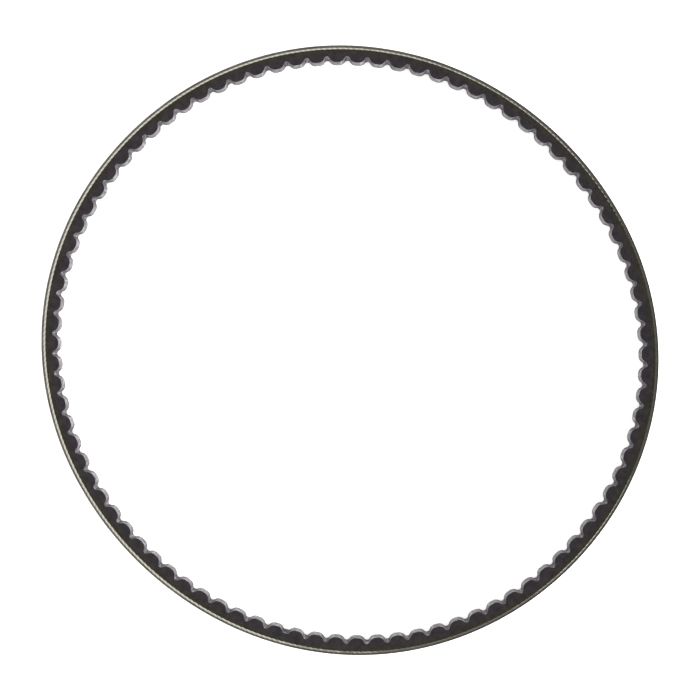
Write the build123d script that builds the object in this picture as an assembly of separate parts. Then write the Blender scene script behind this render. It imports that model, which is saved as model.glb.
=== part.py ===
from build123d import *
import os
from collections import namedtuple
from math import cos, degrees, pi, radians, tan

# A raw-edge, moulded-notch V-belt lying on its side, in the open loop it springs into when free.
#
# Frame: millimetres. +Z is the belt's axis, so the belt stands on the lower rim of its back.
# The origin is the loop's centre, half-way across the belt, and +X is the loop's long axis.
# Depth is measured from the belt's back towards the inside of the loop.

# Belt section
OUTSIDE_LENGTH = 1000.0  # round the back
TOP_WIDTH = 10.0
BELT_HEIGHT = 8.0
FLANK_ANGLE = 18.0  # degrees from the mid-plane to each flank

# Depth of the inner face of each layer
OUTER_PLY_DEPTH = 0.40
INNER_PLY_DEPTH = 0.80
CORD_DEPTH = 1.45  # cord centres, where the overcord and undercord gums meet
GUM_DEPTH = 2.45
COG_FABRIC_THICKNESS = 0.40

# Tensile cord: turns side by side across the belt, the outermost ones cut by the flanks
CORD_DIAMETER = 1.0
CORD_SPACING = 1.2
CORD_TURNS = 8

# Cogs, and the notches between them
COG_COUNT = 90
NOTCH_DEPTH = 2.8
NOTCH_ROOT_RADIUS = 1.6
COG_TIP_FLAT = 1.6

# The one odd notch, where the ends of the cogged strip meet
SPLICE_NOTCH = 73  # counted from the +X end, counter-clockwise
SPLICE_NOTCH_DEPTH = 2.2
SPLICE_ROOT_RADIUS = 1.2
SPLICE_ROOT_FLAT = 1.8

# Free shape: a chain of equal-length tangent arcs whose curvature varies about a circle's
BEND_COUNT = 18
OVAL_SHARE = 0.0535  # two waves of curvature round the loop make it oval
CORNER_SHARE = 0.0635  # four waves make it faintly squared
CORNER_PHASE = 137.4  # degrees

ENVELOPE_MARGIN = 1.0  # how far the V-shaped envelope runs past the cogs that it trims

CORD_LINE_LENGTH = OUTSIDE_LENGTH - 2 * pi * CORD_DEPTH
COGS_PER_BEND = COG_COUNT // BEND_COUNT
Notch = namedtuple("Notch", "depth root_radius root_flat")
PLAIN_NOTCH = Notch(NOTCH_DEPTH, NOTCH_ROOT_RADIUS, 0.0)
SPLICE = Notch(SPLICE_NOTCH_DEPTH, SPLICE_ROOT_RADIUS, SPLICE_ROOT_FLAT)

# One arc of the loop. place puts its centre at the origin and its first end on +X,
# sweep is in degrees, back is the radius of the belt's back, first_notch is at its first end.
Bend = namedtuple("Bend", "place sweep back first_notch")


def polar(radius, angle):
    """Point in a bend's own plane, angle in degrees."""
    return Vector(radius, 0).rotate(Axis.Z, angle)


def free_loop():
    """The bends, counter-clockwise from the +X end, about the loop's own centre."""
    point, heading, arcs = Vector(0, 0), 0.0, []
    for index in range(BEND_COUNT):
        turn = 2 * pi * (index + 0.5) / BEND_COUNT
        oval = OVAL_SHARE * cos(2 * turn)
        corners = CORNER_SHARE * cos(4 * turn - radians(CORNER_PHASE))
        radius = CORD_LINE_LENGTH / (2 * pi * (1 + oval + corners))
        sweep = degrees(CORD_LINE_LENGTH / BEND_COUNT / radius)
        centre = point - polar(radius, heading)
        arcs.append((centre, heading, sweep, radius))
        heading += sweep
        point = centre + polar(radius, heading)
    # Half a loop apart, two points are always opposite each other about the loop's centre.
    ends = [centre + polar(radius, heading) for centre, heading, _, radius in arcs]
    middle = (ends[0] + ends[BEND_COUNT // 2]) / 2
    return [
        Bend(
            Location(centre - middle, (0, 0, heading)),
            sweep,
            radius + CORD_DEPTH,
            COGS_PER_BEND * index,
        )
        for index, (centre, heading, sweep, radius) in enumerate(arcs)
    ]


def half_width(depth):
    """From the mid-plane to the flank at this depth."""
    return TOP_WIDTH / 2 - depth * tan(radians(FLANK_ANGLE))


def slab(back, top, bottom):
    """Cross-section of the belt between two depths, in the XZ plane."""
    corners = [(top, 1), (bottom, 1), (bottom, -1), (top, -1)]
    points = [(back - depth, 0, side * half_width(depth)) for depth, side in corners]
    return make_face(Polyline(*points, close=True))


def cord_sections(back):
    """Round cross-sections of every turn of cord, from -Z to +Z."""
    offsets = [CORD_SPACING * (turn - (CORD_TURNS - 1) / 2) for turn in range(CORD_TURNS)]
    return [
        Plane.XZ * Pos(back - CORD_DEPTH, offset) * Circle(CORD_DIAMETER / 2)
        for offset in offsets
    ]


def joined(stretches):
    """One closed ring from stretches that meet end to end."""
    return stretches[0].fuse(*stretches[1:]).clean()


def ring(section):
    """Closed ring whose cross-section at each bend is section(back)."""
    return joined(
        [bend.place * revolve(section(bend.back), Axis.Z, bend.sweep) for bend in free_loop()]
    )


def ply(top, bottom):
    """Plain layer between two depths."""
    return ring(lambda back: slab(back, top, bottom))


def gum(top, bottom):
    """Layer between two depths with a groove for each half-buried turn of cord."""
    return ring(lambda back: slab(back, top, bottom) - cord_sections(back))


def cord_turns():
    """Every turn of cord as a closed ring of its own, trimmed by the flanks."""

    def turn_section(turn):
        return lambda back: (cord_sections(back)[turn] & slab(back, 0, GUM_DEPTH)).face()

    return Compound(children=[ring(turn_section(turn)) for turn in range(CORD_TURNS)])


def arc_between(centre, start, end):
    """The shorter arc about centre from start to end."""
    radius = (start - centre).length
    middle = centre + ((start + end) / 2 - centre).normalized() * radius
    return ThreePointArc(start, middle, end)


def notch_wall(bend, angle, side, notch, inset):
    """Wall from a notch's root to the flat tip beside it, as arcs about the bend's centre.

    inset moves the wall from the belt's surface into the rubber. side is +1 or -1, for the
    wall after or before the notch's middle, which is at this angle.
    """
    root = bend.back - BELT_HEIGHT + notch.depth
    tip = bend.back - BELT_HEIGHT
    pitch = bend.sweep / COGS_PER_BEND
    root_edge = degrees(notch.root_flat / 2 / root)
    tip_edge = pitch / 2 - degrees(COG_TIP_FLAT / 2 / tip)
    # The tip's radius is the one that makes its arc touch both the root's arc and the flat tip.
    reach = root - notch.root_radius
    across = reach * cos(radians(tip_edge - root_edge))
    gap = reach**2 + tip**2 - 2 * tip * across - notch.root_radius**2
    tip_radius = gap / (2 * (notch.root_radius - tip + across))
    root_centre = polar(reach, angle + side * root_edge)
    tip_centre = polar(tip + tip_radius, angle + side * tip_edge)
    towards_tip = (tip_centre - root_centre).normalized()
    touch = root_centre + towards_tip * (notch.root_radius + inset)
    wall = [
        arc_between(root_centre, polar(root + inset, angle + side * root_edge), touch),
        arc_between(tip_centre, touch, polar(tip + inset, angle + side * tip_edge)),
    ]
    if root_edge:
        middle = polar(root + inset, angle)
        wall.append(arc_between(Vector(0, 0), middle, wall[0] @ 0))
    return wall


def cog_line(bend, inset):
    """Toothed line along one bend, from the middle of its first notch to the middle of its last."""
    pitch = bend.sweep / COGS_PER_BEND
    line = []
    for step in range(COGS_PER_BEND):
        walls = []
        for side, offset in ((1, 0), (-1, 1)):
            number = bend.first_notch + step + offset
            notch = SPLICE if number == SPLICE_NOTCH else PLAIN_NOTCH
            walls.append(notch_wall(bend, (step + offset) * pitch, side, notch, inset))
        rise, fall = walls
        line += rise + fall
        line.append(arc_between(Vector(0, 0), rise[1] @ 1, fall[1] @ 1))
    return line


def end_lines(bend, top, bottom):
    """Straight lines across both ends of a bend, between two depths."""
    return [
        Line(polar(bend.back - top, angle), polar(bend.back - bottom, angle))
        for angle in (0, bend.sweep)
    ]


def trimmed(bend, outline):
    """Outline in plan, as thick as the belt is wide and trimmed to its V-shaped flanks."""
    block = extrude(make_face(outline), TOP_WIDTH / 2, both=True)
    section = slab(bend.back, 0, BELT_HEIGHT + ENVELOPE_MARGIN)
    envelope = revolve(section, Axis.Z, bend.sweep + 2 * ENVELOPE_MARGIN)
    return bend.place * (block & Rot(0, 0, -ENVELOPE_MARGIN) * envelope)


def cogged_rubber():
    """Compression rubber from the undercord gum down to the lining of its cogs."""
    root_depth = BELT_HEIGHT - NOTCH_DEPTH - COG_FABRIC_THICKNESS
    stretches = []
    for bend in free_loop():
        back_line = arc_between(
            Vector(0, 0), polar(bend.back - GUM_DEPTH, 0), polar(bend.back - GUM_DEPTH, bend.sweep)
        )
        outline = cog_line(bend, COG_FABRIC_THICKNESS) + [back_line]
        stretches.append(trimmed(bend, outline + end_lines(bend, GUM_DEPTH, root_depth)))
    return joined(stretches)


def cog_lining():
    """Fabric that follows every cog and notch."""
    root_depth = BELT_HEIGHT - NOTCH_DEPTH
    stretches = []
    for bend in free_loop():
        faces = cog_line(bend, 0) + cog_line(bend, COG_FABRIC_THICKNESS)
        ends = end_lines(bend, root_depth - COG_FABRIC_THICKNESS, root_depth)
        stretches.append(trimmed(bend, faces + ends))
    return joined(stretches)


NODES = {
    "cover_fabric_outer": ply(0, OUTER_PLY_DEPTH),
    "cover_fabric_inner": ply(OUTER_PLY_DEPTH, INNER_PLY_DEPTH),
    "overcord_gum": gum(INNER_PLY_DEPTH, CORD_DEPTH),
    "tensile_cord": cord_turns(),
    "undercord_gum": gum(CORD_DEPTH, GUM_DEPTH),
    "compression_rubber": cogged_rubber(),
    "cog_fabric": cog_lining(),
}

os.makedirs("parts", exist_ok=True)
for name, shape in NODES.items():
    export_step(shape, f"parts/{name}.step")
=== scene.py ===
from math import cos, pi, radians, sin, tan

import bpy
import numpy as np
from mathutils import Matrix, Vector


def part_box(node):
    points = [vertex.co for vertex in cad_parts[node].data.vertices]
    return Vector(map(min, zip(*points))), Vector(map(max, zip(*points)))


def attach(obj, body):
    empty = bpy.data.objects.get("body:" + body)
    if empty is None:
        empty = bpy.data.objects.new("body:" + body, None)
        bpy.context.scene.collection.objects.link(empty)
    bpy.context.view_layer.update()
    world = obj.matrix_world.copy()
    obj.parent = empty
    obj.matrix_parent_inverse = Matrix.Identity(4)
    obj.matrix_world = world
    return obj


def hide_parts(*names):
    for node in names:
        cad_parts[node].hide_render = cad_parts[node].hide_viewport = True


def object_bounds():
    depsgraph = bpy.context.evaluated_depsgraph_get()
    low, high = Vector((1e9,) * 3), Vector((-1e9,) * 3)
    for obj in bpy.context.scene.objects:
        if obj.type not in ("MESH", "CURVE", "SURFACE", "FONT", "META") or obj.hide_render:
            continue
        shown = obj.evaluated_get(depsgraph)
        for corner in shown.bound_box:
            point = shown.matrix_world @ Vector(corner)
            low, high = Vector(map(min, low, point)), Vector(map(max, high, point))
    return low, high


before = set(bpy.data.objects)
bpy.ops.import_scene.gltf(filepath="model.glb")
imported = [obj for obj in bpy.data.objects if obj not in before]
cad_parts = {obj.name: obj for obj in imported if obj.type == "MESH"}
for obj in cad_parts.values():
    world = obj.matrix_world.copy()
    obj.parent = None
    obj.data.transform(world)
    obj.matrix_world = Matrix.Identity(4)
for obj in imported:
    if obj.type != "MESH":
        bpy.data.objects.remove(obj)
cad_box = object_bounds()

# Lengths are in millimetres until a mesh is written, and metres in Blender.
# along is the distance round the cord line from the +X end, depth is measured from the belt's
# back into the loop, and across is measured from the belt's mid-plane, as Z is.
MM = 0.001

# The belt's driving sizes, as the CAD has them
OUTSIDE_LENGTH = 1000.0
BELT_HEIGHT = 8.0
FLANK_ANGLE = radians(18.0)  # from the mid-plane to each flank
COG_COUNT = 90
NOTCH_DEPTH = 2.8
NOTCH_ROOT_RADIUS = 1.6
COG_TIP_FLAT = 1.6
LINING_THICKNESS = 0.4
SPLICE_NOTCH = 73
SPLICE_NOTCH_DEPTH = 2.2
SPLICE_ROOT_RADIUS = 1.2
SPLICE_ROOT_FLAT = 1.8
CORD_DEPTH = 1.45
CORD_DIAMETER = 1.0
CORD_LEAD = 1.2

# Free shape of the loop
BEND_COUNT = 18
OVAL_SHARE = 0.0535
CORNER_SHARE = 0.0635
CORNER_PHASE = radians(137.4)

# Seeds of the random reliefs. A ripple takes its seed and the next number, and a ply has two
# ripples, so it takes four numbers.
OUTER_PLY_SEED = 11
INNER_PLY_SEED = 21
MOULD_SEED = 43
LINING_SEED = 47
SMEAR_SEED = 61

FLANK_SLOPE = tan(FLANK_ANGLE)
FLANK_COS = cos(FLANK_ANGLE)
FLANK_SIN = sin(FLANK_ANGLE)
BACK_HALF_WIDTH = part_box("cover_fabric_outer")[1].z / MM


def layer_depth(node):
    """Depth of a CAD layer's outer face, from how wide the belt still is there."""
    return (BACK_HALF_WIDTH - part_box(node)[1].z / MM) / FLANK_SLOPE


INNER_PLY_TOP = layer_depth("cover_fabric_inner")
OVERCORD_TOP = layer_depth("overcord_gum")
RUBBER_TOP = layer_depth("compression_rubber")
CORD_LINE = OUTSIDE_LENGTH - 2 * pi * CORD_DEPTH
COG_PITCH = CORD_LINE / COG_COUNT


# ---------------------------------------------------------------- the loop

def free_loop():
    """Centre, cord-line radius and first heading of each tangent arc, about the loop's centre."""
    turns = 2 * pi * (np.arange(BEND_COUNT) + 0.5) / BEND_COUNT
    share = 1 + OVAL_SHARE * np.cos(2 * turns) + CORNER_SHARE * np.cos(4 * turns - CORNER_PHASE)
    radii = CORD_LINE / (2 * pi * share)
    headings = np.concatenate([[0], np.cumsum(CORD_LINE / BEND_COUNT / radii)])[:-1]
    normals = np.column_stack([np.cos(headings), np.sin(headings)])
    steps = (radii[:-1] - radii[1:])[:, None] * normals[1:]
    centres = np.concatenate([[[0, 0]], np.cumsum(steps, axis=0)])
    starts = centres + radii[:, None] * normals
    return centres - (starts[0] + starts[BEND_COUNT // 2]) / 2, radii, headings


CENTRES, RADII, HEADINGS = free_loop()
ARC = CORD_LINE / BEND_COUNT


def bend_of(along):
    """Which arc each distance falls on, and how far into it, mm."""
    along = np.mod(along, CORD_LINE)
    bend = np.minimum((along / ARC).astype(int), BEND_COUNT - 1)
    return bend, along - bend * ARC


def on_loop(along, depth, across):
    """Points in the frame, mm, for arrays of along, depth and across."""
    along, depth, across = np.broadcast_arrays(along, depth, across)
    bend, into = bend_of(along)
    heading = HEADINGS[bend] + into / RADII[bend]
    reach = RADII[bend] + CORD_DEPTH - depth
    x = CENTRES[bend, 0] + reach * np.cos(heading)
    y = CENTRES[bend, 1] + reach * np.sin(heading)
    return np.stack([x, y, across], axis=-1)


def half_width(depth):
    """From the mid-plane to the flank at this depth, mm."""
    return BACK_HALF_WIDTH - depth * FLANK_SLOPE


def ripple(along, across, swells, seed):
    """Smooth random relief from -1 to 1 that closes on itself round the loop.

    swells holds the shortest and the longest swell, mm, and how many are summed. Their lengths
    are spread evenly by ratio.
    """
    shortest, longest, count = swells
    draw = np.random.default_rng(seed)
    lengths = np.geomspace(shortest, longest, count)
    widths = [length * draw.uniform(0.6, 1.8) for length in lengths]
    draw = np.random.default_rng(seed + 1)
    total = np.zeros(np.broadcast(along, across).shape)
    for length, width in zip(lengths, widths):
        waves = max(1, round(CORD_LINE / length * draw.uniform(0.8, 1.2)))
        slant = draw.uniform(-1, 1) / width
        start = draw.uniform(0, 2 * pi)
        total = total + np.sin(2 * pi * (waves * along / CORD_LINE + slant * across) + start)
    return total / count


# ---------------------------------------------------------------- cogs

STATIONS_PER_COG = 32
FINE_STEPS_PER_COG = 400  # to measure the toothed line's length


def notch_sizes(number):
    """Depth, root radius and flat of the root of each numbered notch."""
    splice = np.mod(number, COG_COUNT) == SPLICE_NOTCH
    depth = np.where(splice, SPLICE_NOTCH_DEPTH, NOTCH_DEPTH)
    radius = np.where(splice, SPLICE_ROOT_RADIUS, NOTCH_ROOT_RADIUS)
    flat = np.where(splice, SPLICE_ROOT_FLAT, 0.0)
    return depth, radius, flat


def cog_depth(along, inset):
    """Depth of the toothed surface, moved into the rubber by inset: root arc, tip arc, flat tip."""
    number = np.rint(along / COG_PITCH)
    notch_depth, root_radius, root_flat = notch_sizes(number)
    bend, _ = bend_of(along)
    back = RADII[bend] + CORD_DEPTH
    tip = back - BELT_HEIGHT
    root = tip + notch_depth
    angle = np.abs(along - number * COG_PITCH) / RADII[bend]
    root_edge = root_flat / 2 / root
    tip_edge = COG_PITCH / 2 / RADII[bend] - COG_TIP_FLAT / 2 / tip
    reach = root - root_radius
    level = reach * np.cos(tip_edge - root_edge)
    gap = reach**2 + tip**2 - 2 * tip * level - root_radius**2
    tip_radius = gap / (2 * (root_radius - tip + level))
    root_span, tip_span = angle - root_edge, angle - tip_edge
    in_root = np.maximum((root_radius + inset) ** 2 - (reach * np.sin(root_span)) ** 2, 0)
    on_root = reach * np.cos(root_span) + np.sqrt(in_root)
    out = tip + tip_radius
    in_tip = np.maximum((tip_radius - inset) ** 2 - (out * np.sin(tip_span)) ** 2, 0)
    on_tip = out * np.cos(tip_span) - np.sqrt(in_tip)
    # The two arcs touch on the line between their centres.
    dx = out * np.cos(tip_edge) - reach * np.cos(root_edge)
    dy = out * np.sin(tip_edge) - reach * np.sin(root_edge)
    share = (root_radius + inset) / (root_radius + tip_radius)
    touch = np.arctan2(
        reach * np.sin(root_edge) + dy * share, reach * np.cos(root_edge) + dx * share
    )
    radius = np.where(angle < touch, on_root, on_tip)
    radius = np.where(angle < root_edge, root + inset, radius)
    radius = np.where(angle > tip_edge, tip + inset, radius)
    return back - radius


def cog_stations():
    """Distances round the loop, spaced evenly along the toothed line itself."""
    fine = np.linspace(0, CORD_LINE, COG_COUNT * FINE_STEPS_PER_COG + 1)
    depth = cog_depth(fine, 0)
    length = np.concatenate([[0], np.cumsum(np.hypot(np.diff(fine), np.diff(depth)))])
    wanted = np.linspace(0, length[-1], COG_COUNT * STATIONS_PER_COG + 1)[:-1]
    return np.interp(wanted, length, fine)


# ---------------------------------------------------------------- meshes

SHARP_EDGE = radians(38)  # faces that meet at more than this are shaded as a corner


def write_mesh(name, points, quads, belt, mark, mark_values):
    """Mesh object from points (mm), quads and, per quad corner, belt coordinates and a mark."""
    mesh = bpy.data.meshes.new(name)
    mesh.vertices.add(len(points))
    mesh.vertices.foreach_set("co", (points * MM).astype(np.float32).ravel())
    mesh.loops.add(quads.size)
    mesh.loops.foreach_set("vertex_index", quads.astype(np.int32).ravel())
    mesh.polygons.add(len(quads))
    mesh.polygons.foreach_set("loop_start", np.arange(0, quads.size, 4, dtype=np.int32))
    mesh.update(calc_edges=True)
    mesh.polygons.foreach_set("use_smooth", np.ones(len(quads), bool))
    attribute = mesh.attributes.new("belt", "FLOAT_VECTOR", "CORNER")
    attribute.data.foreach_set("vector", belt.astype(np.float32).ravel())
    attribute = mesh.attributes.new(mark, "FLOAT", "CORNER")
    attribute.data.foreach_set("value", mark_values.astype(np.float32).ravel())
    mesh.validate()
    mesh.set_sharp_from_angle(angle=SHARP_EDGE)
    piece = bpy.data.objects.new(name, mesh)
    bpy.context.scene.collection.objects.link(piece)
    return piece


def ring(name, along, depth, across, cut):
    """Closed ring: each row of depth and across is the section's outline at one station.

    cut says, for the stretch of outline after each point, whether it is part of a cut flank.
    The outline runs so that the ring's faces look outwards.
    """
    rows, columns = depth.shape
    points = on_loop(along[:, None], depth, across).reshape(-1, 3)
    row, column = np.meshgrid(np.arange(rows), np.arange(columns), indexing="ij")
    next_row, next_column = (row + 1) % rows, (column + 1) % columns
    corners = [(row, column), (row, next_column), (next_row, next_column), (next_row, column)]
    quads = np.stack([r * columns + c for r, c in corners], axis=-1).reshape(-1, 4)
    wrapped = np.concatenate([along, [along[0] + CORD_LINE]])
    belt = np.stack(
        [
            np.stack([wrapped[row + step], depth[r, c], across[r, c]], axis=-1)
            for (r, c), step in zip(corners, (0, 0, 1, 1))
        ],
        axis=2,
    )
    flags = np.broadcast_to(np.asarray(cut, float)[None, :, None], (rows, columns, 4))
    return write_mesh(name, points, quads, belt, "cut", flags)


def slab_outline(top_columns, side_rows, bottom_columns):
    """Shares (t across, u down) round a four-sided section, and which stretches are cut flanks."""
    outline, cut = [], []
    for t in np.linspace(1, -1, top_columns + 1)[:-1]:
        outline.append((t, 0.0))
        cut.append(0)
    for u in np.linspace(0, 1, side_rows + 1)[:-1]:
        outline.append((-1.0, u))
        cut.append(1)
    for t in np.linspace(-1, 1, bottom_columns + 1)[:-1]:
        outline.append((t, 1.0))
        cut.append(0)
    for u in np.linspace(1, 0, side_rows + 1)[:-1]:
        outline.append((1.0, u))
        cut.append(1)
    return np.array(outline), np.array(cut)


def tube(name, points, belt, smeared):
    """Tube with closed ends, from rows of points round it, each with its belt coordinates."""
    rows, columns, _ = points.shape
    row, column = np.meshgrid(np.arange(rows - 1), np.arange(columns), indexing="ij")
    turn = (column + 1) % columns
    here, ahead = row * columns, (row + 1) * columns
    corners = np.stack([here + column, ahead + column, ahead + turn, here + turn], axis=-1)
    caps = []
    for first, order in ((0, 1), ((rows - 1) * columns, -1)):
        for step in range(columns // 2 - 1):
            quad = [step, step + 1, columns - 2 - step, columns - 1 - step][::order]
            caps.append([first + corner for corner in quad])
    quads = np.concatenate([corners.reshape(-1, 4), np.array(caps)])
    belt, smeared = belt.reshape(-1, 3)[quads], smeared.reshape(-1)[quads]
    return write_mesh(name, points.reshape(-1, 3), quads, belt, "smear", smeared)


# ---------------------------------------------------------------- cover plies

PLY_STATIONS = 2000
PLY_COLUMNS = 34, 3, 6  # faces across its back, down each cut edge, and across its hidden side
FACE_SWELLS = 1.7, 14, 7
FACE_RELIEF = 0.02  # the back dips by up to twice this, mm
FRAY_SWELLS = 1.1, 5, 6
FRAY = 0.02  # the cut edges draw back by up to twice this, mm


def ply(name, top, bottom, edge_wear, seed):
    """Fabric ply with a faintly uneven face, frayed cut edges and rims worn down by edge_wear."""
    outline, cut = slab_outline(*PLY_COLUMNS)
    t, u = outline[:, 0][None, :], outline[:, 1][None, :]
    stations = np.linspace(0, CORD_LINE, PLY_STATIONS, endpoint=False)
    along = stations[:, None]
    depth = top + (bottom - top) * u + 0 * along
    across = t * half_width(depth)
    on_top = (u == 0) * (np.abs(t) < 1)
    on_flank = np.abs(t) == 1
    depth = depth + FACE_RELIEF * on_top * (1 + ripple(along, across, FACE_SWELLS, seed))
    depth = depth + edge_wear * (u == 0) * on_flank
    # 3 * t keeps the two edges' fraying apart.
    fray = ripple(along, 3 * t + u, FRAY_SWELLS, seed + 2)
    across = across - np.sign(t) * on_flank * FRAY * (1 + fray)
    return ring(name, stations, depth, across, cut)


# ---------------------------------------------------------------- cord and gums

CORD_RADIUS = CORD_DIAMETER / 2
GROOVE_RADIUS = 0.92 * CORD_RADIUS  # the gums reach into the cord, so that no gap shows
CORD_REACH = half_width(CORD_DEPTH) + CORD_RADIUS / FLANK_COS  # across, where a turn is cut away
CORD_LEAVES = 0.03 * CORD_LINE  # along, where the last turn is cut away by the upper flank
CORD_LAPS = 2 * CORD_REACH / CORD_LEAD
# Rubber dragged over the cut cord: a thin film that comes and goes, and three stretches, each
# with its middle and half length as shares of the way round, and how thickly it is covered
FILM = 0.10
FILM_DRIFT = 0.35
FILM_SWELLS = 5, 60, 9
SMEARS = (0.912, 0.048, 1.0), (0.84, 0.05, 0.35), (0.28, 0.06, 0.30)
STRAND_COUNT = 3
STRAND_PERIOD = 2.8  # along the cord, from one strand to the next, mm
STRAND_RELIEF = 0.09  # depth of the crease between strands, as a share of the cord's radius
STRAND_SLANT = 1.6  # how far the gap between cut strands leans, radians for each mm of depth
CORD_PROUD = 0.05  # cut fibres stand this far out of the flank, mm
GAP_PROUD = 0.2  # share of that which is left in the gap between cut strands
FULL_CUT = 0.2  # half width of the cut face from which its fibres stand fully proud, mm
GAP_NARROWS = 0.12  # share of the cut face's width that is missing at a gap
LEAST_CUT = 0.02  # least half width of the cut face, mm
SLIVER = 0.02  # least thickness of a cut cord, mm

# How finely the cord and the gums are divided. Distances are along the cord, mm.
CORD_COLUMNS = 12
OPEN_STEP = 0.33  # where a flank lays the cord open
OPEN_MARGIN = 10  # how far that step is kept up beyond the opening
HIDDEN_STEP = 4.0
HIDDEN_FROM = 1.0  # stations further apart than this are inside the belt
GUM_STATIONS = 1200
GUM_FLAT_COLUMNS = 6
GUM_SIDE_ROWS = 3
GUM_GROOVED_POINTS = 54


def smear(along):
    """How much rubber is dragged over the cut cord, from 0 to 1."""
    amount = FILM + FILM_DRIFT * ripple(along, 0, FILM_SWELLS, SMEAR_SEED)
    for middle, half_length, thickness in SMEARS:
        off = np.mod(along / CORD_LINE - middle + 0.5, 1) - 0.5
        amount = amount + thickness * np.exp(-((off / half_length) ** 2))
    return np.clip(amount, 0, 1)


def top_turn(along):
    """Across position of the turn nearest the upper flank, mm. It climbs one lead a lap."""
    lap = np.mod((along - CORD_LEAVES) / CORD_LINE, 1)
    return CORD_REACH - CORD_LEAD * (1 - lap)


def cord_bite(across, along):
    """How deep the cord's groove is in a gum at this place, mm."""
    offset = across - top_turn(along)
    nearest = offset - CORD_LEAD * np.rint(offset / CORD_LEAD)
    return np.sqrt(np.maximum(GROOVE_RADIUS**2 - nearest**2, 0))


def flank_chord(along, side):
    """Middle depth and half length of the cord's cut on a flank, for the turn nearest to it."""
    turn = top_turn(along)
    if side < 0:
        turn = CORD_LEAD * np.floor((turn + CORD_REACH) / CORD_LEAD) - turn
    inside = (half_width(CORD_DEPTH) - turn) * FLANK_COS
    furthest = CORD_LEAD * FLANK_COS - CORD_RADIUS
    foot = np.interp(inside, [-CORD_RADIUS, CORD_RADIUS, furthest], [-1, 1, -1])
    half = np.sqrt(np.maximum(GROOVE_RADIUS**2 - inside**2, 0))
    return CORD_DEPTH + foot * CORD_RADIUS * FLANK_SIN, half


def gum(name, face_depth, direction):
    """Gum between a flat face and the cord line. direction is +1 where the cords lie deeper."""
    along = np.linspace(0, CORD_LINE, GUM_STATIONS, endpoint=False)[:, None]
    ends = {}
    for side in (-1, 1):
        middle, half = flank_chord(along, side)
        ends[side] = middle - direction * half * FLANK_COS
    flat = np.linspace(1, -1, GUM_FLAT_COLUMNS + 1)[None, :-1]
    share = np.linspace(0, 1, GUM_SIDE_ROWS + 1)[None, :]
    inner = np.linspace(-1, 1, GUM_GROOVED_POINTS + 2)[None, 1:-1]
    low = face_depth + (ends[-1] - face_depth) * share
    high = ends[1] + (face_depth - ends[1]) * share[:, :-1]
    inner_across = inner * np.where(inner < 0, half_width(ends[-1]), half_width(ends[1]))
    inner_depth = CORD_DEPTH - direction * cord_bite(inner_across, along)
    flat_across = flat * half_width(face_depth) + 0 * along
    flat_depth = face_depth + 0 * flat_across
    depth = np.concatenate([flat_depth, low, inner_depth, high], axis=1)
    across = np.concatenate(
        [flat_across, -half_width(low), inner_across, half_width(high)], axis=1
    )
    cut = np.zeros(depth.shape[1])
    cut[GUM_FLAT_COLUMNS : GUM_FLAT_COLUMNS + GUM_SIDE_ROWS] = 1
    cut[-GUM_SIDE_ROWS:] = 1
    if direction < 0:
        # The gum under the cords is built the other way up, so its outline is turned round.
        depth, across, cut = depth[:, ::-1], across[:, ::-1], np.roll(cut[::-1], -1)
    return ring(name, along[:, 0], depth, across, cut)


def cord_stations():
    """Distances along the cord, close together where a flank lays it open."""
    total = CORD_LAPS * CORD_LINE
    open_length = 2 * CORD_RADIUS / FLANK_COS / CORD_LEAD * CORD_LINE + OPEN_MARGIN
    near = np.arange(0, open_length, OPEN_STEP)
    hidden = np.arange(open_length, total - open_length, HIDDEN_STEP)
    return np.concatenate([near, hidden, total - near[::-1]])


def plane_off(side, across, twist, outward, down, crease):
    """Cut the cord's skin back to one flank: its new outward and down, mm, and its creases."""
    inside = (half_width(CORD_DEPTH) - side * across) * FLANK_COS
    proud = side * outward * FLANK_COS + down * FLANK_SIN
    slide = down * FLANK_COS - side * outward * FLANK_SIN
    half = np.sqrt(np.maximum(CORD_RADIUS**2 - inside**2, LEAST_CUT**2))
    slant = STRAND_COUNT * twist / 2 + STRAND_SLANT * side * slide
    gap = 1 - np.abs(np.cos(slant))
    fuzz = CORD_PROUD * (1 - (1 - GAP_PROUD) * gap) * np.minimum(1, half / FULL_CUT)
    planed = proud > inside
    # Where only a sliver of cord is left, its cut face narrows and keeps a thin back.
    widest = np.max(np.abs(slide) * planed, axis=1, keepdims=True)
    narrowed = half / np.maximum(half, widest)
    slide = np.where(planed, slide * narrowed * (1 - GAP_NARROWS * gap), slide)
    cut_face = np.where(proud < 0, inside - SLIVER, inside + fuzz)
    proud = np.where(planed, cut_face, proud)
    outward = side * (proud * FLANK_COS - slide * FLANK_SIN)
    down = proud * FLANK_SIN + slide * FLANK_COS
    # The gaps between the cut strands are blackest where the cut is narrow.
    crease = np.where(planed, gap * (1.25 - 0.5 * half / CORD_RADIUS), crease)
    return outward, down, crease


def wound_cord(name):
    """Three-strand cord wound as one helix and planed off by both flanks."""
    run = cord_stations()[1:-1][:, None]
    total = CORD_LAPS * CORD_LINE
    along = CORD_LEAVES + run - total
    across = run / CORD_LINE * CORD_LEAD - CORD_REACH
    step = np.gradient(run[:, 0])[:, None]
    hidden = step > HIDDEN_FROM
    twist = 2 * pi / STRAND_COUNT / STRAND_PERIOD * np.cumsum(np.where(hidden, 0, step), axis=0)
    around = 2 * pi * np.arange(CORD_COLUMNS)[None, :] / CORD_COLUMNS
    crease = 1 - np.abs(np.cos(STRAND_COUNT / 2 * around))
    radius = CORD_RADIUS * np.where(hidden, 1, 1 - STRAND_RELIEF * crease)
    outward, down = radius * np.cos(around + twist), radius * np.sin(around + twist)
    crease = crease + 0 * twist
    for side in (-1, 1):
        outward, down, crease = plane_off(side, across, twist, outward, down, crease)
    points = on_loop(along, CORD_DEPTH + down, across + outward)
    belt = np.stack([along + 0 * crease, crease, across + outward], axis=-1)
    return tube(name, points, belt, smear(along) + 0 * crease)


# ---------------------------------------------------------------- cogged body and lining

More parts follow.
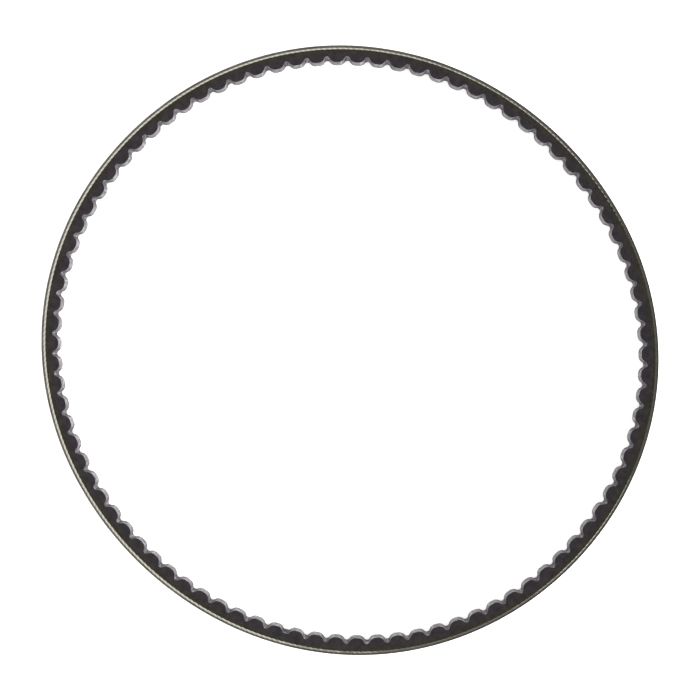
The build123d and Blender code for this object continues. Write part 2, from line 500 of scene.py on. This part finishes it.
MOULD_SWELLS = 4, 16, 6
MOULD_SCATTER = 0.10  # how far the toothed face wanders into the rubber, mm
LINING_SWELLS = 1.3, 7, 8
LINING_RELIEF = 0.04  # the lining's free face is sunk by up to twice this, mm
HIDDEN_COLUMNS = 4  # faces across the side that lies against the next layer


def moulded_depth(along, inset):
    """Depth of the toothed surface as it came out of the mould, moved into the rubber by inset."""
    wander = MOULD_SCATTER / 2 * (1 + ripple(along, 0, MOULD_SWELLS, MOULD_SEED))
    return cog_depth(along, inset) - wander


def cogged(name, top, inset, columns, side_rows, relief):
    """Ring from the face that top gives down to the toothed face moved in by inset."""
    stations = cog_stations()
    along = stations[:, None]
    outline, cut = slab_outline(HIDDEN_COLUMNS, side_rows, columns)
    t, u = outline[:, 0][None, :], outline[:, 1][None, :]
    upper = top(along)
    depth = upper + (moulded_depth(along, inset) - upper) * u
    across = t * half_width(depth)
    rough = np.where(np.abs(t) < 1, ripple(along, across, LINING_SWELLS, LINING_SEED) - 1, -1)
    depth = depth + relief * (u == 1) * rough
    across = t * half_width(depth)
    return ring(name, stations, depth, across, cut)


def cogged_body(name):
    """The rubber, from the gum down to its lining."""

    def top(along):
        return RUBBER_TOP + 0 * along

    return cogged(name, top, LINING_THICKNESS, columns=6, side_rows=9, relief=0.0)


def cog_lining(name):
    """The lining, from the rubber to its free face, which is wrinkled."""

    def top(along):
        return moulded_depth(along, LINING_THICKNESS)

    return cogged(name, top, 0.0, columns=24, side_rows=2, relief=LINING_RELIEF)


# ---------------------------------------------------------------- materials

class Finish:
    """A node material, built up by short calls that return sockets."""

    def __init__(self, name, **shader):
        self.material = bpy.data.materials.new(name)
        self.material.use_nodes = True
        self.tree = self.material.node_tree
        self.shader = self.tree.nodes["Principled BSDF"]
        for socket, value in shader.items():
            self.shader.inputs[socket.replace("_", " ")].default_value = value

    def put(self, socket, value):
        if isinstance(value, bpy.types.NodeSocket):
            self.tree.links.new(value, socket)
        else:
            socket.default_value = value

    def node(self, kind, **settings):
        node = self.tree.nodes.new(kind)
        for key, value in settings.items():
            setattr(node, key, value)
        return node

    def math(self, operation, *values, clamp=False):
        node = self.node("ShaderNodeMath", operation=operation, use_clamp=clamp)
        for socket, value in zip(node.inputs, values):
            self.put(socket, value)
        return node.outputs[0]

    def total(self, *values):
        result = values[0]
        for value in values[1:]:
            result = self.math("ADD", result, value)
        return result

    def scaled(self, value, factor):
        return self.math("MULTIPLY", value, factor)

    def inverse(self, value):
        return self.math("SUBTRACT", 1.0, value)

    def span(self, value, low, high, to_low=0.0, to_high=1.0):
        """value eased from to_low at low up to to_high at high, and held outside them."""
        node = self.node("ShaderNodeMapRange", interpolation_type="SMOOTHSTEP")
        for socket, number in zip(node.inputs, (value, low, high, to_low, to_high)):
            self.put(socket, number)
        return node.outputs[0]

    def mixed(self, factor, first, second):
        node = self.node("ShaderNodeMix", data_type="RGBA")
        self.put(node.inputs[0], factor)
        for socket, colour in zip(node.inputs[6:8], (first, second)):
            self.put(socket, colour if isinstance(colour, bpy.types.NodeSocket) else (*colour, 1.0))
        return node.outputs[2]

    def place(self):
        return self.node("ShaderNodeTexCoord").outputs["Object"]

    def belt(self):
        """Along, depth and across, mm. On the cord, depth's place is taken by its creases."""
        attribute = self.node("ShaderNodeAttribute", attribute_name="belt")
        split = self.node("ShaderNodeSeparateXYZ")
        self.put(split.inputs[0], attribute.outputs["Vector"])
        return split.outputs[0], split.outputs[1], split.outputs[2]

    def mark(self, name):
        return self.node("ShaderNodeAttribute", attribute_name=name).outputs["Fac"]

    def noise(self, size, vector=None, detail=3.0, roughness=0.55):
        """Noise from 0 to 1 with grains of this size in mm, or in vector's own units."""
        node = self.node("ShaderNodeTexNoise")
        self.put(node.inputs["Vector"], vector or self.place())
        node.inputs["Scale"].default_value = 1 / size if vector else 1 / (size * MM)
        node.inputs["Detail"].default_value = detail
        node.inputs["Roughness"].default_value = roughness
        return node.outputs["Fac"]

    def specks(self, size, vector=None):
        """Distance from the nearest of scattered points, in grains of this size in mm."""
        node = self.node("ShaderNodeTexVoronoi")
        self.put(node.inputs["Vector"], vector or self.place())
        node.inputs["Scale"].default_value = 1 / size if vector else 1 / (size * MM)
        return node.outputs["Distance"]

    def lengthwise(self, length, depth, width):
        """Coordinates that stretch a texture along the belt and press it together across it."""
        split = self.node("ShaderNodeSeparateXYZ")
        self.put(split.inputs[0], self.place())
        flat = [self.scaled(split.outputs[axis], 1 / (length * MM)) for axis in (0, 1)]
        return self.joined(*flat, self.scaled(depth, 1 / width))

    def joined(self, *values):
        """Vector of up to three values."""
        node = self.node("ShaderNodeCombineXYZ")
        for socket, value in zip(node.inputs, values):
            self.put(socket, value)
        return node.outputs[0]

    def weave(self, along, across, period):
        """Height of a plain weave laid on the bias, from 0 to 1. period is its length along."""
        turn = pi / period
        sum_wave = self.math("SINE", self.scaled(self.total(along, across), turn))
        difference = self.math("SUBTRACT", along, across)
        difference_wave = self.math("SINE", self.scaled(difference, turn))
        product = self.math("MULTIPLY", sum_wave, difference_wave)
        over = self.total(self.math("ABSOLUTE", sum_wave), product)
        under = self.math("SUBTRACT", self.math("ABSOLUTE", difference_wave), product)
        return self.scaled(self.math("MAXIMUM", over, under), 0.5)

    def finish(self, colour, roughness, height, relief):
        """Join the shader. relief is how far, in mm, height from 0 to 1 lifts the surface."""
        self.put(self.shader.inputs["Base Color"], colour)
        self.put(self.shader.inputs["Roughness"], roughness)
        bump = self.node("ShaderNodeBump")
        bump.inputs["Strength"].default_value = 1.0
        bump.inputs["Distance"].default_value = relief * MM
        self.put(bump.inputs["Height"], height)
        self.put(self.shader.inputs["Normal"], bump.outputs[0])
        return self.material


def whole_period(length):
    """Nearest length that divides the cord line an even number of times."""
    return CORD_LINE / (2 * round(CORD_LINE / length / 2))


COVER_THREAD = whole_period(0.82)  # length of a weave along the belt, mm
LINING_THREAD = whole_period(0.7)
THREAD_ROWS = 0.4  # depth from one row of thread ends to the next but one, mm
BEST_LIT_SHARE = 0.55  # share of the way round where painted light makes the cut edge of the cover palest


def cover_fabric_finish():
    """Rubbered canvas: a dark weave with worn crowns, and thread ends on its cut edges."""
    f = Finish("rubbered_canvas", Specular_IOR_Level=0.25)
    along, depth, across = f.belt()
    cut = f.mark("cut")
    weave = f.weave(along, across, COVER_THREAD)
    grime = f.noise(9.0, detail=4.0)
    grain = f.noise(0.25, detail=4.0)
    # On the back, the weave's crowns are worn pale in patches.
    worn = f.math("MULTIPLY", f.span(weave, 0.55, 0.98), f.span(grime, 0.35, 0.7))
    face = f.mixed(worn, (0.022, 0.022, 0.020), (0.085, 0.084, 0.074))
    # The cut edges show rows of thread ends and patches of dust, with painted light that makes them
    # paler on one side of the loop than on the other, and they are darker at the rim and in the
    # second ply.
    rows = f.math("SINE", f.scaled(depth, 2 * pi / THREAD_ROWS))
    ends = f.math("MULTIPLY", f.math("SINE", f.scaled(along, 2 * pi / COVER_THREAD)), rows)
    ends = f.total(f.scaled(ends, 0.25), f.noise(0.5, detail=4.0))
    patches = f.span(f.noise(2.6, f.lengthwise(3.0, depth, 0.5), detail=3.0), 0.3, 0.7)
    fray = f.total(f.scaled(f.span(ends, 0.35, 0.75), 0.6), f.scaled(patches, 0.4))
    # Painted light: a wave round the loop makes one side of the cut edge paler, and noise adds
    # patches of dust.
    lap = f.total(f.scaled(along, 2 * pi / CORD_LINE), -2 * pi * BEST_LIT_SHARE)
    side_light = f.math("COSINE", lap)
    dust_and_light = f.total(f.scaled(side_light, 0.42), f.scaled(f.noise(30.0, detail=2.0), 0.8))
    edge = f.mixed(f.span(dust_and_light, 0.0, 0.8), (0.053, 0.051, 0.040), (0.205, 0.198, 0.162))
    edge = f.mixed(fray, (0.024, 0.023, 0.018), edge)
    edge = f.mixed(f.span(depth, 0.0, 0.14, 0.55, 0.0), edge, (0.035, 0.034, 0.028))
    edge = f.mixed(f.span(depth, 0.35, 0.6, 0.0, 0.4), edge, (0.020, 0.019, 0.015))
    colour = f.mixed(cut, face, edge)
    colour = f.mixed(f.scaled(grain, 0.3), colour, (0.012, 0.012, 0.011))
    roughness = f.span(grain, 0.2, 0.8, 0.62, 0.85)
    height = f.total(f.scaled(weave, f.inverse(cut)), f.scaled(grain, 0.3), f.scaled(ends, 0.2))
    return f.finish(colour, roughness, height, 0.11)


def adhesion_gum_finish():
    """Satin black rubber, ground to a dull surface where the flanks were cut."""
    f = Finish("adhesion_gum", Specular_IOR_Level=0.15)
    _, depth, _ = f.belt()
    scratch = f.noise(1.0, f.lengthwise(4.0, depth, 0.12), detail=3.0)
    mottle = f.noise(1.6, detail=4.0)
    colour = f.mixed(f.span(mottle, 0.3, 0.75), (0.010, 0.008, 0.005), (0.022, 0.019, 0.013))
    # Dust from the canvas lies on the flank, from the cords outwards.
    dusted = f.math("MULTIPLY", f.mark("cut"), f.span(depth, 1.25, 1.75, 1.0, 0.0))
    dusted = f.math("MULTIPLY", dusted, f.span(mottle, 0.25, 0.6, 0.5, 1.0))
    colour = f.mixed(dusted, colour, (0.058, 0.055, 0.044))
    colour = f.mixed(f.scaled(f.span(scratch, 0.5, 0.8), 0.3), colour, (0.070, 0.066, 0.052))
    roughness = f.span(scratch, 0.3, 0.7, 0.55, 0.8)
    height = f.total(scratch, f.scaled(mottle, 0.5))
    return f.finish(colour, roughness, height, 0.03)


def compression_rubber_finish():
    """Black rubber filled with short fibres, which show as pale flecks on the cut flanks."""
    f = Finish("fibre_filled_rubber", Specular_IOR_Level=0.1)
    _, depth, _ = f.belt()
    mottle = f.noise(3.2, detail=4.0)
    drift = f.scaled(f.noise(60.0, detail=1.0), 3.0)
    scratch = f.noise(1.0, f.lengthwise(5.0, depth, 0.16), detail=4.0)
    flecks = f.span(f.specks(0.42), 0.10, 0.24, 1.0, 0.0)
    sparse = f.span(f.noise(0.9, detail=2.0), 0.45, 0.62)
    # The black is browner near the cords and more violet towards the tips.
    warm = f.mixed(f.span(mottle, 0.3, 0.72), (0.014, 0.0125, 0.0095), (0.024, 0.0215, 0.0175))
    cool = f.mixed(f.span(mottle, 0.3, 0.72), (0.014, 0.0115, 0.0135), (0.023, 0.0195, 0.0225))
    colour = f.mixed(f.span(f.total(depth, drift), 4.2, 6.6), warm, cool)
    colour = f.mixed(f.scaled(f.span(scratch, 0.52, 0.8), 0.25), colour, (0.080, 0.074, 0.070))
    fleck = f.math("MULTIPLY", flecks, sparse)
    colour = f.mixed(f.scaled(fleck, 0.35), colour, (0.15, 0.14, 0.125))
    roughness = f.span(scratch, 0.3, 0.7, 0.6, 0.85)
    height = f.total(scratch, f.scaled(fleck, 0.5), f.scaled(mottle, 0.6))
    return f.finish(colour, roughness, height, 0.035)


def cog_fabric_finish():
    """Grey dusted fabric pressed into the notches, blacker in them from painted shade, and dark
    where it is cut.
    """
    f = Finish("cog_lining_fabric", Specular_IOR_Level=0.2)
    along, depth, across = f.belt()
    cut = f.mark("cut")
    weave = f.weave(along, across, LINING_THREAD)
    mottle = f.noise(2.4, detail=5.0, roughness=0.6)
    # Wrinkles along the belt: thin creases darkened with painted shade, and ridges with a painted
    # highlight
    folds = f.noise(1.0, f.lengthwise(5.0, across, 0.8), detail=3.0)
    crease = f.span(f.math("ABSOLUTE", f.math("SUBTRACT", folds, 0.48)), 0.0, 0.035, 1.0, 0.0)
    ridge_highlight = f.span(folds, 0.60, 0.70)
    # Painted shade darkens both walls of a notch, in patches on one of them. phase is 0 in the
    # middle of a notch and 0.5 in the middle of a cog.
    phase = f.math("FRACT", f.total(f.scaled(along, 1 / COG_PITCH), f.scaled(f.noise(6.0), 0.06)))
    rising = f.math("MULTIPLY", f.span(phase, 0.05, 0.09), f.span(phase, 0.10, 0.30, 1.0, 0.0))
    falling = f.math("MULTIPLY", f.span(phase, 0.72, 0.86), f.span(phase, 0.89, 0.95, 1.0, 0.0))
    patchy = f.span(f.noise(7.0, detail=3.0), 0.34, 0.54)
    notch_wall_shade = f.total(rising, f.math("MULTIPLY", falling, patchy))
    notch_wall_shade = f.math("MULTIPLY", notch_wall_shade, 0.60, clamp=True)
    speckle = f.span(f.noise(0.8, detail=2.0), 0.42, 0.60)
    # Painted shade darkens the bottom of the notches, broken up in bars across them.
    across_bars = f.joined(f.scaled(along, 1 / 0.9), f.scaled(across, 1 / 7.0))
    bars = f.span(f.noise(1.0, across_bars, detail=1.0), 0.46, 0.56)
    in_notch = f.span(depth, 5.4, 7.0, 1.0, 0.0)
    notch_shade_and_tear = f.math("MULTIPLY", in_notch, f.span(bars, 0.0, 1.0, 0.70, 0.0))
    # The splice's notch is torn and black, apart from a strip below the upper flank.
    from_splice = f.math("ABSOLUTE", f.total(f.scaled(along, 1 / COG_PITCH), -SPLICE_NOTCH))
    at_splice = f.span(from_splice, 0.18, 0.28, 1.0, 0.0)
    torn = f.span(f.noise(1.5, detail=2.0), 0.36, 0.44)
    torn = f.math("MULTIPLY", torn, f.span(across, 2.1, 2.6, 1.0, 0.0))
    notch_shade_and_tear = f.mixed(at_splice, notch_shade_and_tear, f.scaled(torn, 0.95))
    # A painted highlight lies on one shoulder of some cogs.
    shoulder_highlight = f.math("MULTIPLY", f.span(phase, 0.28, 0.33), f.span(phase, 0.36, 0.42, 1.0, 0.0))
    shoulder_highlight = f.math("MULTIPLY", shoulder_highlight, f.span(f.noise(9.0), 0.45, 0.6))
    face = f.mixed(f.span(mottle, 0.3, 0.7), (0.12, 0.112, 0.122), (0.355, 0.336, 0.359))
    face = f.mixed(f.scaled(f.inverse(speckle), 0.28), face, (0.075, 0.070, 0.075))
    face = f.mixed(f.scaled(shoulder_highlight, 0.5), face, (0.52, 0.50, 0.52))
    face = f.mixed(f.scaled(f.inverse(weave), 0.3), face, (0.06, 0.056, 0.06))
    # Painted highlight on the ridges, then painted shade in the creases
    face = f.mixed(f.scaled(ridge_highlight, 0.5), face, (0.55, 0.53, 0.55))
    face = f.mixed(f.scaled(crease, 0.65), face, (0.03, 0.027, 0.03))
    # Painted shade on the walls and bottoms of the notches, and the torn splice, turn the face near
    # black.
    face = f.mixed(f.math("MAXIMUM", notch_wall_shade, notch_shade_and_tear), face, (0.026, 0.023, 0.026))
    edge = f.mixed(f.noise(0.4, detail=3.0), (0.006, 0.0055, 0.006), (0.020, 0.018, 0.020))
    colour = f.mixed(cut, face, edge)
    roughness = f.span(mottle, 0.3, 0.7, 0.55, 0.8)
    height = f.total(f.scaled(weave, 0.6), f.scaled(mottle, 0.6), f.scaled(crease, -0.6))
    return f.finish(colour, roughness, height, 0.07)


def tensile_cord_finish():
    """Cream twisted yarn with dark gaps between its strands and rubber dragged over it."""
    f = Finish("cream_cord", Specular_IOR_Level=0.2, Sheen_Weight=0.3, Sheen_Roughness=0.5)
    _, crease, _ = f.belt()
    smeared = f.mark("smear")
    hair = f.noise(0.18, detail=3.0)
    stain = f.noise(1.1, detail=4.0)
    colour = f.mixed(f.span(hair, 0.3, 0.7), (0.24, 0.227, 0.192), (0.51, 0.488, 0.428))
    colour = f.mixed(f.span(crease, 0.3, 0.85), colour, (0.075, 0.069, 0.053))
    # The rubber dragged over the fibres
    rubbed = f.scaled(f.span(f.total(smeared, f.scaled(stain, 0.9)), 0.6, 1.3), 0.9)
    colour = f.mixed(rubbed, colour, (0.055, 0.052, 0.042))
    roughness = f.span(hair, 0.2, 0.8, 0.7, 0.9)
    height = f.total(hair, f.scaled(crease, -0.8))
    return f.finish(colour, roughness, height, 0.04)


# ---------------------------------------------------------------- pieces

def dress(piece, node, material):
    """Put a visual piece in place of its CAD node."""
    piece.data.materials.append(material)
    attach(piece, "root")
    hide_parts(node)


canvas = cover_fabric_finish()
gum_rubber = adhesion_gum_finish()

outer_ply = ply("outer_cover_ply", 0.0, INNER_PLY_TOP, edge_wear=0.03, seed=OUTER_PLY_SEED)
dress(outer_ply, "cover_fabric_outer", canvas)
inner_ply = ply(
    "inner_cover_ply", INNER_PLY_TOP, OVERCORD_TOP, edge_wear=0.02, seed=INNER_PLY_SEED
)
dress(inner_ply, "cover_fabric_inner", canvas)
dress(gum("gum_above_cord", OVERCORD_TOP, 1), "overcord_gum", gum_rubber)
dress(wound_cord("wound_tensile_cord"), "tensile_cord", tensile_cord_finish())
dress(gum("gum_below_cord", RUBBER_TOP, -1), "undercord_gum", gum_rubber)
body_rubber = compression_rubber_finish()
dress(cogged_body("cogged_body"), "compression_rubber", body_rubber)
dress(cog_lining("cog_lining"), "cog_fabric", cog_fabric_finish())


# ---------------------------------------------------------------- camera, floor and light

VIEW_TILT_X, VIEW_TILT_Y, VIEW_TURN = radians(-0.63), radians(-1.58), radians(-35.27)
VIEW_PLACE = Vector((1.60, -0.57, 414.04)) * MM  # in the camera's own axes
VIEW_LENS = 40.42  # mm, on a sensor 36 mm wide

turn = (
    Matrix.Rotation(VIEW_TILT_X, 3, "X")
    @ Matrix.Rotation(VIEW_TILT_Y, 3, "Y")
    @ Matrix.Rotation(VIEW_TURN, 3, "Z")
)
from_view = turn.transposed()
camera = bpy.data.objects.new("camera", bpy.data.cameras.new("camera"))
camera.data.lens = VIEW_LENS
camera.data.sensor_width = 36.0
camera.data.clip_start = 0.01
camera.data.clip_end = 20.0
camera.matrix_world = Matrix.Translation(from_view @ VIEW_PLACE) @ from_view.to_4x4()
bpy.context.scene.collection.objects.link(camera)
bpy.context.scene.camera = camera


FLOOR_GLOW = 0.6
FLOOR_SIZE = 6.0


def floor_finish():
    """White paper lit from below as well as above, so that it hardly takes a shadow."""
    f = Finish("white_floor", Specular_IOR_Level=0.0, Emission_Strength=FLOOR_GLOW)
    f.shader.inputs["Emission Color"].default_value = (1.0, 1.0, 0.995, 1.0)
    fibre = f.noise(3.0, detail=4.0)
    colour = f.mixed(f.span(fibre, 0.3, 0.7), (0.88, 0.88, 0.875), (0.92, 0.92, 0.915))
    return f.finish(colour, 0.9, fibre, 0.02)


def floor():
    """Large sheet that the belt lies on, kept out of the part."""
    half = FLOOR_SIZE / 2
    level = cad_box[0].z
    mesh = bpy.data.meshes.new("floor")
    corners = [(x * half, y * half, level) for x, y in ((-1, -1), (1, -1), (1, 1), (-1, 1))]
    mesh.from_pydata(corners, [], [(0, 1, 2, 3)])
    mesh.materials.append(floor_finish())
    piece = bpy.data.objects.new("floor", mesh)
    bpy.context.scene.collection.objects.link(piece)


def soft_light(name, direction, distance, size, power):
    """Square area light that faces the belt from this direction in the camera's axes."""
    lamp = bpy.data.lights.new(name, "AREA")
    lamp.size = size
    lamp.energy = power
    place = from_view @ Vector(direction).normalized() * distance
    piece = bpy.data.objects.new(name, lamp)
    aim = place.to_track_quat("Z", "Y").to_matrix().to_4x4()
    piece.matrix_world = Matrix.Translation(place) @ aim
    bpy.context.scene.collection.objects.link(piece)


floor()
soft_light("key_light", (0.9, -0.1, 0.6), distance=1.2, size=0.8, power=19.0)
soft_light("fill_light", (-0.5, 0.2, 1.0), distance=1.4, size=1.0, power=1.5)

world = bpy.data.worlds.new("studio")
world.use_nodes = True
background = world.node_tree.nodes["Background"]
background.inputs["Color"].default_value = (1.0, 1.0, 1.0, 1.0)
background.inputs["Strength"].default_value = 1.0
bpy.context.scene.world = world
bpy.context.scene.view_settings.view_transform = "Standard"
